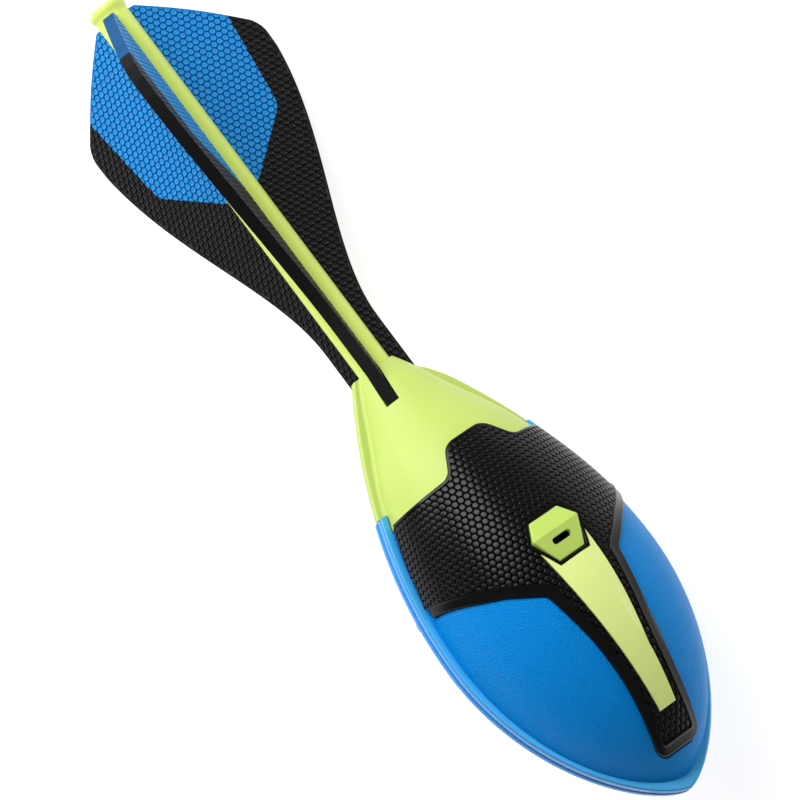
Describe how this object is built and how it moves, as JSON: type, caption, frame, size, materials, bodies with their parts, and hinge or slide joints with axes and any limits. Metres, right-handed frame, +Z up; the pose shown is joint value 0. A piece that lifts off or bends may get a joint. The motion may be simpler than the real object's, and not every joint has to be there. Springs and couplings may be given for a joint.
{
  "type": "whistling foam throwing football",
  "caption": "Foam throwing football with a teardrop head, rubber grip panels, built-in air whistles and a slim round tail that carries thin swept fins.",
  "frame": {"origin": "middle of the bounding box's bottom, on the table that the toy rests on", "axes": "+X along the toy towards the nose, +Z up with one fin standing straight up, +Y to its left"},
  "size_m": [0.324, 0.0802, 0.0822],
  "materials": {
    "blue_foam": "leather-grained skin on foam, satin",
    "lime_foam": "smooth skin on foam, satin",
    "core_foam": "matt cut foam",
    "grip_rubber": "raised dots with a smooth glossy border",
    "accent_plastic": "smooth, soft gloss",
    "whistle_plastic": "smooth, soft gloss",
    "chamber_plastic": "matt, hidden",
    "spine_plastic": "smooth, soft gloss",
    "fin_foam": "sheet foam, embossed dots, printed area at the tail"
  },
  "bodies": {
    "root": {"nose_shell_front": "blue_foam", "nose_shell_back": "blue_foam", "tail_shell_front": "lime_foam", "tail_shell_back": "lime_foam", "foam_core": "core_foam", "grip_front": "grip_rubber", "grip_back": "grip_rubber", "accent_front": "accent_plastic", "accent_back": "accent_plastic", "whistle_cap_front": "whistle_plastic", "whistle_cap_back": "whistle_plastic", "whistle_chamber_front": "chamber_plastic", "whistle_chamber_back": "chamber_plastic", "tail_spine": "spine_plastic", "tail_cap": "spine_plastic", "fin_top": "fin_foam", "fin_left": "fin_foam", "fin_right": "fin_foam"}
  },
  "joints": []
}
